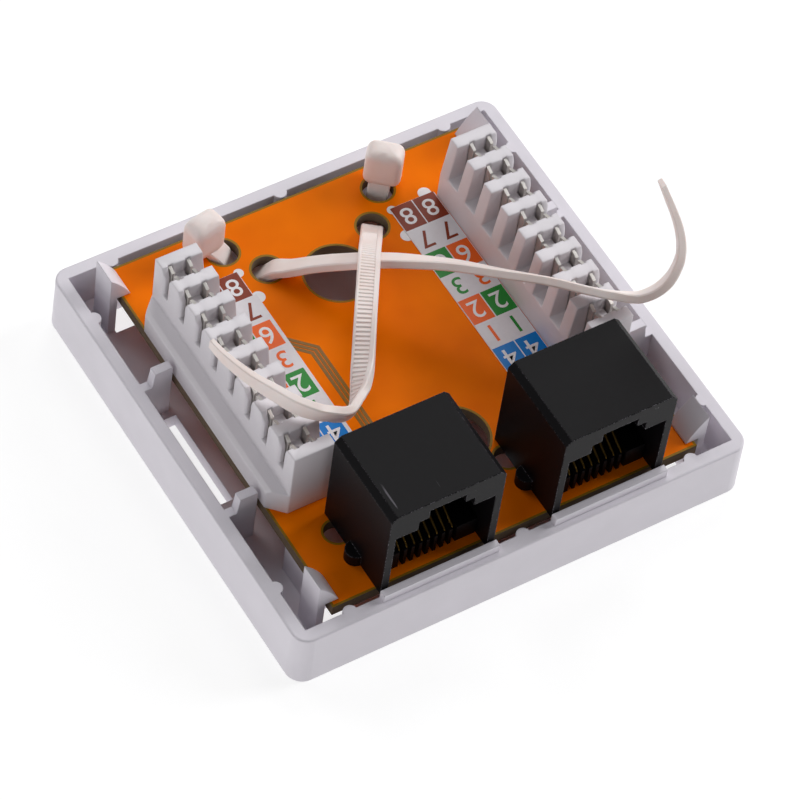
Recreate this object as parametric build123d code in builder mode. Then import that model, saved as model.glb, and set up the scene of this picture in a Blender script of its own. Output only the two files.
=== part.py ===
"""Surface-mount data outlet with two 8P8C jacks, shown with its cover off.

A moulded tray holds a circuit board under four snap hooks. Two jacks stand at the
board's front edge, two eight-way insulation-displacement blocks along its sides,
with a wiring label beside each, and two cable ties are threaded through the board.
Millimetres, +Z up, origin at the centre of the tray's underside, jacks towards -Y.
"""
import os
from math import cos, radians, sin, tan

from build123d import *

os.makedirs("parts", exist_ok=True)

# Tray
tray_width = 61.8  # outside, across the rim
tray_depth = 59.74
tray_height = 8.11
draft_angle = 1.25  # degrees, on each outer wall
tray_corner_radius = 2.2
side_wall = 1.65
end_wall = 1.7
floor_thickness = 2.1

# Circuit board
board_side_gap = 4.25  # from the tray's side walls
board_end_gap = 1.12  # from its front and back walls
board_thickness = 1.6
board_proud = 0.23  # top face above the tray's rim
big_hole_radius = 4.2
big_hole_back_inset = 12.85  # from the board's back edge
big_hole_front_inset = 14.15
tie_hole_radius = 1.95
head_hole_x = 10.9  # the tie's head sits here, mirrored for the other tie
head_hole_inset = 3.85
strap_hole_x = 7.35  # the tie's strap comes up here
strap_hole_inset = 8.5

# Snap hooks that hold the board down
hook_inset = 3.62  # middle of the hook from the end wall
hook_length = 3.6
hook_gap = 0.6  # from the board's edge to the hook's post
hook_post = 1.0
hook_reach = 1.18  # nose over the board
hook_rise = 3.86
hook_bulge = 0.2
hook_clearance = 0.1
window_length = 4.4
window_reach = 5.1

# Ribs between the side walls and the board's edges
rib_y = 10.05
rib_thickness = 1.2
rib_rise = 2.5  # above the rim
rib_foot = 1.0  # flush part beside the wall
rib_ramp = 0.3

# Bumps that the cover snaps over, and the raised lips under the ports
bump_radius = 0.9
bump_proud = 0.75
bump_height = 2.6
bump_side_inset = 5.85  # from the side walls, along the end walls
bump_end_inset = 6.57  # from the end walls, along the side walls
lip_rise = 1.3
lip_thickness = 0.9
lip_width = 15.6

# Floor cut-outs, wall-screw holes and board supports
cable_slot_length = 13.7
cable_slot_width = 3.2
cable_slot_y = 1.65
cable_slot_inset = 0.85  # from the wall's inner face
screw_hole_radius = 1.8
screw_hole_shifts = (-1.8, -1.7)  # from the middle of the board's hole above
support_width = 3.0
front_support_length = 5.9
front_support_setback = 8.75  # from the jacks' front face
back_support_length = 4.0
back_support_inset = 6.5  # from the board's side edge
back_support_end_inset = 6.55
middle_support_x = 12.0

# Jack housing, tab-up
jack_width = 15.24
jack_depth = 12.7
jack_height = 14.86
jack_spacing = 23.24
jack_clearance = 0.17  # to the tray's front wall
jack_chamfer = 0.75
port_half_width = 6.67
port_height = 10.5
step_half_width = 3.73
step_height = 12.0
latch_half_width = 2.42
latch_height = 13.4
jack_back_wall = 1.3
ear_radius = 1.3
ear_height = 1.7
ear_setback = 5.8  # from the jack's front face
ring_hole_radius = 1.6
ring_hole_setback = 9.8

# Contact carrier and its eight bent wires
carrier_clearance = 0.12
comb_setback = 2.4  # from the jack's front face
comb_height = 2.9
comb_foot = 1.2  # setback of the base plate behind the comb's teeth
carrier_base = 1.2
rear_wall_height = 7.9
rear_wall_thickness = 1.65
rear_bar = 0.45
wire_pitch = 1.02
wire_radius = 0.2
wire_slot = 0.6
wire_gap = 0.05  # between the wire and the base plate
wire_bend = 0.42
wire_hook = 1.0
wire_lift = 5.4
wire_front = 0.7  # from the comb's front to the wire's bend
tail_setback = 0.65  # from the slot's rear end to the first row of tails
tail_row_pitch = 2.3
tail_length = 1.1  # below the board
tail_hole_radius = 0.45
peg_radius = 1.5
peg_clearance = 0.1
peg_x = 5.2
peg_setback = 4.8
peg_length = 2.4

# Insulation-displacement block
idc_pitch = 3.88
idc_ways = 8
idc_end = 2.72  # past the last way's middle
idc_jack_gap = 1.85
idc_height = 10.5
idc_top_width = 5.5
idc_inset = 1.9  # outer face from the board's edge
idc_inner_lean = 0.75  # the inner face leans out below the top
idc_lean_height = 4.2  # above the board, where the leaning face begins
ledge_reach = 2.0
ledge_height = 3.5
ledge_end = 2.0
ledge_bevel = 0.5
idc_outer_wall = 0.8
pocket_width = 2.5
pocket_floor = 4.4  # above the board
pocket_length = 3.05
fork_channel = 0.75  # room for a fork plate at each end of the pocket
web_drop = 2.1  # top of the web between the plates, below the block's top
passage_width = 2.1
passage_floor = 4.7
slot_width = 0.8
slot_mouth = 2.1
slot_floor = 6.1
slot_taper_height = 1.4
groove_depth = 0.5
groove_width = 1.5

# Fork contact of the block
fork_thickness = 0.4
fork_clearance = 0.1
fork_top = 0.25  # below the block's top
fork_dip = 0.35
fork_slit = 0.36
fork_slit_depth = 3.6
fork_tail_width = 0.6
fork_tail_length = 1.0
fork_tail_clearance = 0.1

# Wiring label
label_width = 6.3
label_shortfall = 0.8  # shorter than its block
label_thickness = 0.12
label_overlap = 0.65  # past the block's back end
label_gap = 0.08
label_corner = 0.3

# Cable ties: the strap's width and thickness, and the head at its end
strap_width = 2.7
strap_thickness = 1.1
head_width = 4.7
head_thickness = 3.3
head_height = 5.4
head_round = 1.4
head_gap = 1.0  # from the board up to the head
head_shifts = {-1: (2.2, 1.1), 1: (1.0, 0.85)}  # outwards and back from the head's hole
head_turns = {-1: -37.4, 1: 0.0}  # degrees from square to the strap under the board
strap_under = 1.25  # middle of the strap below the board's underside
tip_length = 13.0  # last stretch, where the strap thins
tip_share = 0.55  # of its full size at the tip

board_top = tray_height + board_proud
board_bottom = board_top - board_thickness
inner_x = tray_width / 2 - side_wall
inner_y = tray_depth / 2 - end_wall
foot_spread = 2 * tray_height * tan(radians(draft_angle))
board_edge = inner_x - board_side_gap
board_back = inner_y - board_end_gap
board_width = 2 * board_edge
board_depth = 2 * board_back
big_hole_ys = (board_back - big_hole_back_inset, big_hole_front_inset - board_back)
screw_hole_ys = [y + shift for y, shift in zip(big_hole_ys, screw_hole_shifts)]
head_hole = (head_hole_x, board_back - head_hole_inset)
strap_hole = (strap_hole_x, board_back - strap_hole_inset)
hook_y = inner_y - hook_inset
bump_x = inner_x - bump_side_inset
bump_y = inner_y - bump_end_inset
post_inner = board_edge + hook_gap
post_outer = post_inner + hook_post
jack_front = -inner_y + jack_clearance
jack_back = jack_front + jack_depth
jack_xs = (-jack_spacing / 2, jack_spacing / 2)
comb_front = jack_front + comb_setback
carrier_back = jack_back - jack_back_wall - carrier_clearance
slot_rear = carrier_back - rear_bar
wire_xs = [wire_pitch * (i - 3.5) for i in range(8)]
tail_ys = [slot_rear - tail_setback - tail_row_pitch * (i % 2) for i in range(8)]
peg_y = jack_front + peg_setback
front_support_y = jack_front + front_support_setback
back_support_y = board_back - back_support_end_inset
idc_length = (idc_ways - 1) * idc_pitch + 2 * idc_end
idc_y = jack_back + idc_jack_gap + idc_length / 2
idc_outer_x = board_edge - idc_inset
idc_inner_x = idc_outer_x - idc_top_width
idc_base_x = idc_inner_x - idc_inner_lean
way_ys = [idc_y + idc_pitch * (i - (idc_ways - 1) / 2) for i in range(idc_ways)]
pocket_outer = idc_outer_x - idc_outer_wall
pocket_inner = pocket_outer - pocket_length
fork_tail_x = (pocket_outer + pocket_inner) / 2
label_length = idc_length - label_shortfall
label_back_y = idc_y + idc_length / 2 + label_overlap


def side_name(side):
    return "left" if side < 0 else "right"


def write(part, name):
    """Label a finished piece and save it under its name."""
    part.label = name
    export_step(part, f"parts/{name}.step")


def upright(x, y, z):
    """A plane facing -Y, with its own x along X and its own y along Z."""
    return Plane((x, y, z), x_dir=(1, 0, 0), z_dir=(0, -1, 0))


def sideways(x, y, z):
    """A plane facing +X, with its own x along Y and its own y along Z."""
    return Plane((x, y, z), x_dir=(0, 1, 0), z_dir=(1, 0, 0))


# The tray: drafted outer walls, flat floor, hooks, ribs, bumps, lips and supports
with BuildPart() as base_tray:
    with BuildSketch():
        RectangleRounded(tray_width + foot_spread, tray_depth + foot_spread, tray_corner_radius)
    extrude(amount=tray_height, taper=draft_angle)
    rim_edges = base_tray.faces().sort_by(Axis.Z)[-1].edges()
    fillet(rim_edges, 0.25)
    with BuildSketch(Plane.XY.offset(floor_thickness)):
        Rectangle(2 * inner_x, 2 * inner_y)
    extrude(amount=tray_height, mode=Mode.SUBTRACT)

    # Snap hooks: a post, and a nose with a bulged ramp over the board's edge
    nose = (board_edge - hook_reach, board_top + hook_clearance)
    ridge = (post_outer, board_top + hook_rise)
    ramp_middle = (
        (nose[0] + ridge[0]) / 2 - hook_bulge * 0.8,
        (nose[1] + ridge[1]) / 2 + hook_bulge * 0.6,
    )
    for side in (-1, 1):
        for end in (-1, 1):
            with BuildSketch(upright(0, end * hook_y + hook_length / 2, 0)):
                with BuildLine():
                    ThreePointArc(
                        (side * nose[0], nose[1]),
                        (side * ramp_middle[0], ramp_middle[1]),
                        (side * ridge[0], ridge[1]),
                    )
                    Polyline(
                        (side * ridge[0], ridge[1]),
                        (side * post_outer, floor_thickness / 2),
                        (side * post_inner, floor_thickness / 2),
                        (side * post_inner, nose[1]),
                        (side * nose[0], nose[1]),
                    )
                make_face()
            extrude(amount=hook_length)

    # Ribs: flush beside the wall, then stepped up above the board
    for side in (-1, 1):
        for end in (-1, 1):
            with BuildSketch(upright(0, end * rib_y + rib_thickness / 2, 0)):
                with BuildLine():
                    Polyline(
                        (side * post_inner, floor_thickness / 2),
                        (side * post_inner, tray_height + rib_rise),
                        (side * (inner_x - rib_foot - rib_ramp), tray_height + rib_rise),
                        (side * (inner_x - rib_foot), tray_height),
                        (side * (inner_x + side_wall / 2), tray_height),
                        (side * (inner_x + side_wall / 2), floor_thickness / 2),
                        close=True,
                    )
                make_face()
            extrude(amount=rib_thickness)

    # Half-round snap bumps along the rim's inner edge
    bump_back = bump_radius - bump_proud
    bump_places = [(x, end * (inner_y + bump_back)) for x in (-bump_x, 0, bump_x) for end in (-1, 1)]
    bump_places += [(side * (inner_x + bump_back), end * bump_y) for side in (-1, 1) for end in (-1, 1)]
    with BuildSketch(Plane.XY.offset(tray_height - bump_height)):
        with Locations(*bump_places):
            Circle(bump_radius)
    extrude(amount=bump_height)

    # Lips on the front wall, one under each port
    with BuildSketch(Plane.XY.offset(tray_height - lip_thickness)):
        with Locations(*[(x, -inner_y - lip_thickness / 2) for x in jack_xs]):
            Rectangle(lip_width, lip_thickness)
    extrude(amount=lip_thickness + lip_rise)

    # Supports under the board
    front_support_x = board_edge - support_width / 2 - hook_clearance
    back_support_x = board_edge - back_support_inset
    with BuildSketch(Plane.XY.offset(floor_thickness / 2)):
        with Locations(*[(side * front_support_x, front_support_y) for side in (-1, 1)]):
            Rectangle(support_width, front_support_length)
        with Locations(*[(side * back_support_x, back_support_y) for side in (-1, 1)]):
            Rectangle(support_width, back_support_length)
        with Locations(*[(side * middle_support_x, 0) for side in (-1, 1)]):
            Rectangle(support_width, support_width)
    extrude(amount=board_bottom - floor_thickness / 2)

    # Cut-outs through the floor: one under each hook's nose, two long ones, two screw holes
    with BuildSketch():
        for side in (-1, 1):
            with Locations(*[(side * (post_inner - window_reach / 2), end * hook_y) for end in (-1, 1)]):
                Rectangle(window_reach, window_length)
            with Locations((side * (inner_x - cable_slot_inset - cable_slot_width / 2), cable_slot_y)):
                Rectangle(cable_slot_width, cable_slot_length)
        with Locations(*[(0, y) for y in screw_hole_ys]):
            Circle(screw_hole_radius)
    extrude(amount=floor_thickness, mode=Mode.SUBTRACT)

write(base_tray.part, "base_tray")

# The board, with every hole that something passes through
ring_holes = [
    (x + side * jack_width / 2, jack_front + ring_hole_setback) for x in jack_xs for side in (-1, 1)
]
tail_holes = [(x + wire_x, y) for x in jack_xs for wire_x, y in zip(wire_xs, tail_ys)]
peg_holes = [(x + side * peg_x, peg_y) for x in jack_xs for side in (-1, 1)]
fork_holes = [(side * fork_tail_x, y) for side in (-1, 1) for y in way_ys]
with BuildPart() as circuit_board:
    with BuildSketch(Plane.XY.offset(board_bottom)):
        Rectangle(board_width, board_depth)
        with Locations(*[(0, y) for y in big_hole_ys]):
            Circle(big_hole_radius, mode=Mode.SUBTRACT)
        with Locations(*[(side * x, y) for side in (-1, 1) for x, y in (head_hole, strap_hole)]):
            Circle(tie_hole_radius, mode=Mode.SUBTRACT)
        with Locations(*ring_holes):
            Circle(ring_hole_radius, mode=Mode.SUBTRACT)
        with Locations(*tail_holes):
            Circle(tail_hole_radius, mode=Mode.SUBTRACT)
        with Locations(*peg_holes):
            Circle(peg_radius + peg_clearance, mode=Mode.SUBTRACT)
        with Locations(*fork_holes):
            Circle(fork_tail_width / 2 + 2 * fork_tail_clearance, mode=Mode.SUBTRACT)
    extrude(amount=board_thickness)

write(circuit_board.part, "circuit_board")


def jack_housing(centre_x):
    """The jack's shell: stepped tab-up port, open underside, two small ears at its foot."""
    half = jack_width / 2
    with BuildPart() as housing:
        with BuildSketch(upright(centre_x, jack_front, board_top)):
            with BuildLine():
                Polyline(
                    (-half, 0),
                    (-half, jack_height - jack_chamfer),
                    (-half + jack_chamfer, jack_height),
                    (half - jack_chamfer, jack_height),
                    (half, jack_height - jack_chamfer),
                    (half, 0),
                    close=True,
                )
            make_face()
        extrude(amount=-jack_depth)
        with BuildSketch(Plane.XY.offset(board_top)):
            with Locations(*[(centre_x + side * half, jack_front + ear_setback) for side in (-1, 1)]):
                Circle(ear_radius)
        extrude(amount=ear_height)
        with BuildSketch(upright(centre_x, jack_front, board_top)):
            with Locations((0, port_height / 2)):
                Rectangle(2 * port_half_width, port_height)
            with Locations((0, step_height / 2)):
                Rectangle(2 * step_half_width, step_height)
            with Locations((0, latch_height / 2)):
                Rectangle(2 * latch_half_width, latch_height)
        extrude(amount=jack_back_wall - jack_depth, mode=Mode.SUBTRACT)
    return housing.part


def jack_carrier(centre_x):
    """The comb-edged carrier inside the jack, with a slot for each wire and two board pegs."""
    half = port_half_width - carrier_clearance
    length = carrier_back - comb_front
    middle = (carrier_back + comb_front) / 2
    slot_length = slot_rear - comb_front
    slot_middle = (slot_rear + comb_front) / 2
    tail_slot = tail_setback + tail_row_pitch + tail_hole_radius + wire_radius
    with BuildPart() as carrier:
        with BuildSketch(Plane.XY.offset(board_top)):
            with Locations((centre_x, middle)):
                Rectangle(2 * half, length)
        extrude(amount=comb_height)
        with BuildSketch(Plane.XY.offset(board_top)):
            with Locations((centre_x, carrier_back - rear_wall_thickness / 2)):
                Rectangle(2 * half, rear_wall_thickness)
        extrude(amount=rear_wall_height)
        with BuildSketch(Plane.XY.offset(board_top - peg_length)):
            with Locations(*[(centre_x + side * peg_x, peg_y) for side in (-1, 1)]):
                Circle(peg_radius)
        extrude(amount=peg_length)
        with BuildSketch(Plane.XY.offset(board_top + carrier_base)):
            with Locations(*[(centre_x + x, slot_middle) for x in wire_xs]):
                Rectangle(wire_slot, slot_length)
        extrude(amount=rear_wall_height, mode=Mode.SUBTRACT)
        with BuildSketch(Plane.XY.offset(board_top)):
            with Locations(*[(centre_x + x, comb_front + comb_foot / 2) for x in wire_xs]):
                Rectangle(wire_slot, comb_foot)
            with Locations(*[(centre_x + x, slot_rear - tail_slot / 2) for x in wire_xs]):
                Rectangle(wire_slot, tail_slot)
        extrude(amount=carrier_base, mode=Mode.SUBTRACT)
    return carrier.part


def jack_wire(x, tail_y):
    """One contact wire: tail through the board, run along the base, then up and back."""
    run_z = board_top + carrier_base + wire_gap + wire_radius
    front_y = comb_front + wire_front
    end_y = slot_rear - wire_radius - wire_gap
    with BuildPart() as wire:
        with BuildLine() as path:
            FilletPolyline(
                (x, tail_y, board_bottom - tail_length),
                (x, tail_y, run_z),
                (x, front_y, run_z),
                (x, front_y, run_z + wire_hook),
                (x, end_y, run_z + wire_lift),
                radius=wire_bend,
            )
        with BuildSketch(Plane((x, tail_y, board_bottom - tail_length), z_dir=(0, 0, 1))):
            Circle(wire_radius)
        sweep(path=path.wire())
    return wire.part


def idc_housing(side):
    """An eight-way block: ledge, leaning inner face, wire slots and a pocket for each fork."""
    back_y = idc_y + idc_length / 2
    front_y = idc_y - idc_length / 2
    outer = idc_outer_x + ledge_reach
    floor_z = board_top + pocket_floor
    top_z = board_top + idc_height
    with BuildPart() as block:
        with BuildSketch(upright(0, back_y, board_top)):
            with BuildLine():
                Polyline(
                    (side * idc_base_x, 0),
                    (side * idc_base_x, idc_lean_height),
                    (side * idc_inner_x, idc_height),
                    (side * idc_outer_x, idc_height),
                    (side * idc_outer_x, 0),
                    close=True,
                )
            make_face()
        extrude(amount=idc_length)
        with BuildSketch(Plane.XY.offset(board_top)):
            with BuildLine():
                Polyline(
                    (side * idc_outer_x, back_y),
                    (side * outer, back_y - ledge_end),
                    (side * outer, front_y + ledge_end),
                    (side * idc_outer_x, front_y),
                    (side * idc_inner_x, front_y),
                    (side * idc_inner_x, back_y),
                    close=True,
                )
            make_face()
        extrude(amount=ledge_height)
        ledge_edge = block.edges().filter_by(Axis.Y).sort_by(lambda e: abs(e.center().X))[-2:]
        chamfer(ledge_edge.sort_by(Axis.Z)[-1], ledge_bevel)

        # Each way's pocket: a channel for each fork plate, and a web between them over the strip
        channel_shift = (pocket_length - fork_channel) / 2
        with BuildSketch(Plane.XY.offset(top_z - web_drop)):
            with Locations(*[(side * fork_tail_x, y) for y in way_ys]):
                Rectangle(pocket_length, passage_width)
        extrude(amount=web_drop, mode=Mode.SUBTRACT)
        with BuildSketch(Plane.XY.offset(floor_z)):
            with Locations(*[(side * fork_tail_x, y) for y in way_ys]):
                Rectangle(pocket_length, pocket_width)
        extrude(amount=fork_thickness + 2 * fork_clearance, mode=Mode.SUBTRACT)
        channel_xs = (fork_tail_x - channel_shift, fork_tail_x + channel_shift)
        with BuildSketch(Plane.XY.offset(floor_z)):
            with Locations(*[(side * x, y) for x in channel_xs for y in way_ys]):
                Rectangle(fork_channel, pocket_width)
        extrude(amount=idc_height, mode=Mode.SUBTRACT)

        # Open passage on the inner side
        with BuildSketch(Plane.XY.offset(board_top + passage_floor)):
            with Locations(*[(side * (idc_base_x + pocket_inner) / 2, y) for y in way_ys]):
                Rectangle(pocket_inner - idc_base_x + fork_thickness, passage_width)
        extrude(amount=idc_height, mode=Mode.SUBTRACT)

        # Wire slot through the outer wall, opening to a mouth at the top
        slot_z = board_top + slot_floor
        taper_z = top_z - slot_taper_height
        with BuildSketch(sideways(side * pocket_outer - 0.01 * side, 0, 0)):
            for y in way_ys:
                with BuildLine():
                    Polyline(
                        (y - slot_width / 2, slot_z),
                        (y - slot_width / 2, taper_z),
                        (y - slot_mouth / 2, top_z),
                        (y + slot_mouth / 2, top_z),
                        (y + slot_width / 2, taper_z),
                        (y + slot_width / 2, slot_z),
                        close=True,
                    )
                make_face()
        extrude(amount=side * 2 * idc_outer_wall, mode=Mode.SUBTRACT)

        # Vee groove that leads the wire into the slot
        with BuildSketch(Plane.XY.offset(slot_z)):
            for y in way_ys:
                with BuildLine():
                    Polyline(
                        (side * (idc_outer_x + groove_depth), y - groove_width),
                        (side * (idc_outer_x - groove_depth), y),
                        (side * (idc_outer_x + groove_depth), y + groove_width),
                        close=True,
                    )
                make_face()
        extrude(amount=idc_height, mode=Mode.SUBTRACT)

        # Hole for each fork's tail
        with BuildSketch(Plane.XY.offset(board_top)):
            with Locations(*[(side * fork_tail_x, y) for y in way_ys]):
                Rectangle(
                    fork_thickness + 2 * fork_tail_clearance, fork_tail_width + 2 * fork_tail_clearance
                )
        extrude(amount=pocket_floor, mode=Mode.SUBTRACT)
    return block.part


def idc_contact(side, y):
    """A two-fork contact: a base strip, a slit plate at each end and a tail for soldering."""
    half = pocket_width / 2 - fork_clearance
    bottom = board_top + pocket_floor + fork_clearance
    top = board_top + idc_height - fork_top
    plate_xs = (
        pocket_outer - fork_clearance - fork_thickness,
        pocket_inner + fork_clearance,
    )
    with BuildPart() as contact:
        for plate_x in plate_xs:
            with BuildSketch(sideways(side * plate_x, y, 0)):
                with BuildLine():
                    Polyline(
                        (-half, bottom),
                        (-half, top),
                        (-fork_slit / 2, top - fork_dip),
                        (-fork_slit / 2, top - fork_slit_depth),
                        (fork_slit / 2, top - fork_slit_depth),
                        (fork_slit / 2, top - fork_dip),
                        (half, top),
                        (half, bottom),
                        close=True,
                    )
                make_face()
            extrude(amount=side * fork_thickness)
        strip = pocket_length - 2 * fork_clearance
        with BuildSketch(Plane.XY.offset(bottom)):
            with Locations((side * fork_tail_x, y)):
                Rectangle(strip, 2 * half)
        extrude(amount=fork_thickness)
        with BuildSketch(Plane.XY.offset(bottom)):
            with Locations((side * fork_tail_x, y)):
                Rectangle(fork_thickness, fork_tail_width)
        extrude(amount=board_bottom - fork_tail_length - bottom)
    return contact.part


def wiring_label(side):
    """The printed label that lies on the board beside its block."""
    with BuildPart() as label:
        with BuildSketch(Plane.XY.offset(board_top)):
            label_x = idc_base_x - label_gap - label_width / 2
            with Locations((side * label_x, label_back_y - label_length / 2)):
                RectangleRounded(label_width, label_length, label_corner)
        extrude(amount=label_thickness)
    return label.part


# Routes of the two straps. Each point is a distance along X and Y from the strap hole, a
# height above the board, and the strap's twist in degrees about its own line.
left_route = [
    (0.58, -0.73, 0.56, -6),
    (1.87, -1.98, 1.41, -14),
    (4.25, -4.24, 3.46, -18),
    (7.21, -7.14, 5.61, -20),
    (9.53, -9.50, 7.16, -26),
    (11.46, -11.43, 8.16, -30),
    (15.52, -15.54, 9.76, -40),
    (19.43, -19.92, 10.96, -48),
    (23.43, -24.12, 11.96, -53),
    (27.26, -28.03, 12.21, -53),
    (29.19, -29.62, 12.26, -49),
    (30.92, -31.00, 12.56, -42),
    (32.13, -31.97, 13.66, -29),
    (33.08, -32.98, 15.96, -16),
    (33.68, -33.44, 18.06, -7),
    (34.06, -33.58, 20.56, -2),
    (34.00, -33.53, 22.84, 9),
    (33.73, -33.26, 25.00, 18),
    (33.19, -32.72, 27.54, 25),
    (32.41, -31.95, 30.12, 29),
    (31.25, -30.88, 33.66, 30),
]
right_route = [
    (-1.50, -2.00, 1.50, 0),
    (-3.17, -4.27, 4.26, 0),
    (-4.77, -6.41, 6.66, 0),
    (-6.47, -8.72, 8.66, 0),
    (-8.46, -11.60, 10.06, 0),
    (-12.18, -17.17, 10.66, 3),
    (-15.60, -22.57, 8.76, 16),
    (-17.19, -24.89, 8.06, 46),
    (-18.11, -25.95, 7.86, 67),
    (-19.05, -26.84, 7.96, 76),
    (-20.27, -27.58, 8.46, 66),
    (-21.50, -28.13, 9.36, 51),
    (-23.28, -28.78, 11.23, 41),
    (-25.50, -28.46, 12.64, 41),
    (-27.28, -26.64, 12.88, 45),
    (-28.44, -24.36, 12.84, 48),
    (-30.09, -21.02, 12.96, 48),
    (-31.49, -17.34, 13.36, 49),
    (-31.93, -14.96, 13.56, 46),
]


def under_board(side):
    """Sections of the strap from the head, down its hole, under the board and up again."""
    start = Vector(side * head_hole[0], head_hole[1], 0)
    stop = Vector(side * strap_hole[0], strap_hole[1], 0)
    along = (stop - start).normalized()
    across = Vector(-along.Y, along.X, 0)
    span = (stop - start).length
    low = board_bottom - strap_under
    inside = board_top - board_thickness * 0.4
    bend = [
        (0.0, inside, (0.25, -1.0)),
        (0.55, low + 0.75, (0.7, -0.8)),
        (1.5, low, (1.0, -0.1)),
        (span - 2.2, low, (1.0, 0.15)),
        (span - 1.0, low + 0.75, (0.8, 0.7)),
        (span, inside, (0.7, 0.75)),
    ]
    out, back = head_shifts[side]
    head = start + Vector(side * out, back, board_top + head_gap + strap_thickness)
    sections = [(head, (start + Vector(0, 0, inside) - head).normalized(), across)]
    for reach, z, (run, rise) in bend:
        middle = start + along * reach
        tangent = along * run + Vector(0, 0, rise)
        sections.append((Vector(middle.X, middle.Y, z), tangent.normalized(), across))
    return sections


def above_board(side, route):
    """Sections of the strap above the board: a level width line is carried along and twisted."""
    hole = Vector(side * strap_hole[0], strap_hole[1], board_top)
    points = [hole + Vector(x, y, rise) for x, y, rise, _ in route]
    level = Vector(0, 0, 1).cross(points[1] - points[0])
    sections = []
    for i, point in enumerate(points):
        before = points[max(i - 1, 0)]
        after = points[min(i + 1, len(points) - 1)]
        tangent = (after - before).normalized()
        level = (level - tangent * level.dot(tangent)).normalized()
        twist = radians(route[i][3])
        width_line = level * cos(twist) + tangent.cross(level) * sin(twist)
        sections.append((point, tangent, width_line))
    return sections


def shares(sections):
    """Each section's share of the strap's full size: it thins over the last stretch."""
    points = [section[0] for section in sections]
    to_tip = 0
    found = [tip_share]
    for here, ahead in zip(points[-2::-1], points[:0:-1]):
        to_tip += (ahead - here).length
        found.append(min(1, tip_share + (1 - tip_share) * to_tip / tip_length))
    return found[::-1]


def cable_tie(side, sections):
    """A one-piece tie: a head standing on the board and a strap lofted through its sections."""
    first, _, across = sections[0]
    with BuildPart() as tie:
        for (point, tangent, width_line), share in zip(sections, shares(sections)):
            with BuildSketch(Plane(point, x_dir=width_line, z_dir=tangent)):
                Rectangle(share * strap_width, share * strap_thickness)
        loft(ruled=True)
        middle = Vector(first.X, first.Y, board_top + head_gap)
        square = across.rotate(Axis.Z, head_turns[side])
        with BuildSketch(Plane(middle, x_dir=square, z_dir=(0, 0, 1))):
            Rectangle(head_width, head_thickness)
        extrude(amount=head_height)
        crown = tie.faces().filter_by(Axis.Z).sort_by(lambda f: (f.center() - middle).length)
        top_face = [f for f in crown if abs(f.center().Z - middle.Z - head_height) < 0.01][0]
        fillet(top_face.edges(), head_round)
    return tie.part


for side in (-1, 1):
    name = side_name(side)
    jack_x = side * jack_spacing / 2
    write(jack_housing(jack_x), f"jack_housing_{name}")
    write(jack_carrier(jack_x), f"jack_carrier_{name}")
    for i, (wire_x, tail_y) in enumerate(zip(wire_xs, tail_ys), start=1):
        write(jack_wire(jack_x + wire_x, tail_y), f"jack_contact_{name}_{i}")
    write(idc_housing(side), f"idc_housing_{name}")
    for i, way_y in enumerate(way_ys, start=1):
        write(idc_contact(side, way_y), f"idc_contact_{name}_{i}")
    write(wiring_label(side), f"wiring_label_{name}")

write(cable_tie(-1, under_board(-1) + above_board(-1, left_route)), "cable_tie_left")
write(cable_tie(1, under_board(1) + above_board(1, right_route)), "cable_tie_right")
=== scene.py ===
"""Surface-mount ethernet outlet with its cover off, dressed and lit for a studio picture."""
from math import copysign, cos, pi, radians, sin

import bmesh
import bpy
from mathutils import Matrix, Vector


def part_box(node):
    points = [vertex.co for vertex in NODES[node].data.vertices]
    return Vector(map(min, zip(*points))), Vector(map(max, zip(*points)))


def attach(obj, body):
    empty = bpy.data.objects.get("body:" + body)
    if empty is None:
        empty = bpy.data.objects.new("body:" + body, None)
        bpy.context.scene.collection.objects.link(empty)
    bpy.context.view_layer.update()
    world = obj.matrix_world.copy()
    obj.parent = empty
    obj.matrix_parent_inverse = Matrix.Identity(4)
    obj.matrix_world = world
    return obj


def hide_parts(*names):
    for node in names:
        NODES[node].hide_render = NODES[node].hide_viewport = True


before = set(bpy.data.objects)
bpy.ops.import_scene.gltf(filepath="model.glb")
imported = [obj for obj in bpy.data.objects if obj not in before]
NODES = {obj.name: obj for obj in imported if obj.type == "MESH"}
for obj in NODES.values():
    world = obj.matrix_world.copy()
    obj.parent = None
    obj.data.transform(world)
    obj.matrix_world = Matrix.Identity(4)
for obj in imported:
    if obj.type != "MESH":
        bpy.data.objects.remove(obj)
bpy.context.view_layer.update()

bl_info = {
    "name": "Surface-mount ethernet outlet",
    "version": (1, 0, 0),
    "blender": (4, 5, 0),
    "location": "3D Viewport > Sidebar > Outlet",
    "description": "Dresses the outlet's tray, board, jacks, punch-down blocks, labels and ties",
    "category": "Object",
}

MM = 0.001
BODY = "root"
SIDES = (("left", -1), ("right", 1))
BOARD_LOW, BOARD_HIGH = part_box("circuit_board")
BOARD_TOP = BOARD_HIGH.z
BOARD_BOTTOM = BOARD_LOW.z
SUNK = 0.01 * MM  # traces, rims and dots start this far inside the board
CORNERS = ((-1, -1), (1, -1), (1, 1), (-1, 1))
# The right tie's holes in millimetres: its head's and its strap's; the left ones are mirrored
HEAD_HOLE = (10.9, 23.2)
STRAP_HOLE = (7.35, 18.55)


def linear(hex_colour):
    """Turn an sRGB hex colour into the linear RGBA that shaders take."""
    parts = [int(hex_colour[i:i + 2], 16) / 255 for i in (1, 3, 5)]
    light = [c / 12.92 if c <= 0.04045 else ((c + 0.055) / 1.055) ** 2.4 for c in parts]
    return (*light, 1.0)


def toned(colour, share):
    """The same colour with its light scaled by a share."""
    return [c * share for c in colour[:3]] + [1.0]


def add(tree, kind, sockets=None, **settings):
    """Add a shader node, set its own settings, and fill or link its sockets."""
    made = tree.nodes.new(kind)
    for name, value in settings.items():
        setattr(made, name, value)
    for name, value in (sockets or {}).items():
        if isinstance(value, bpy.types.NodeSocket):
            tree.links.new(value, made.inputs[name])
        else:
            made.inputs[name].default_value = value
    return made


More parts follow.
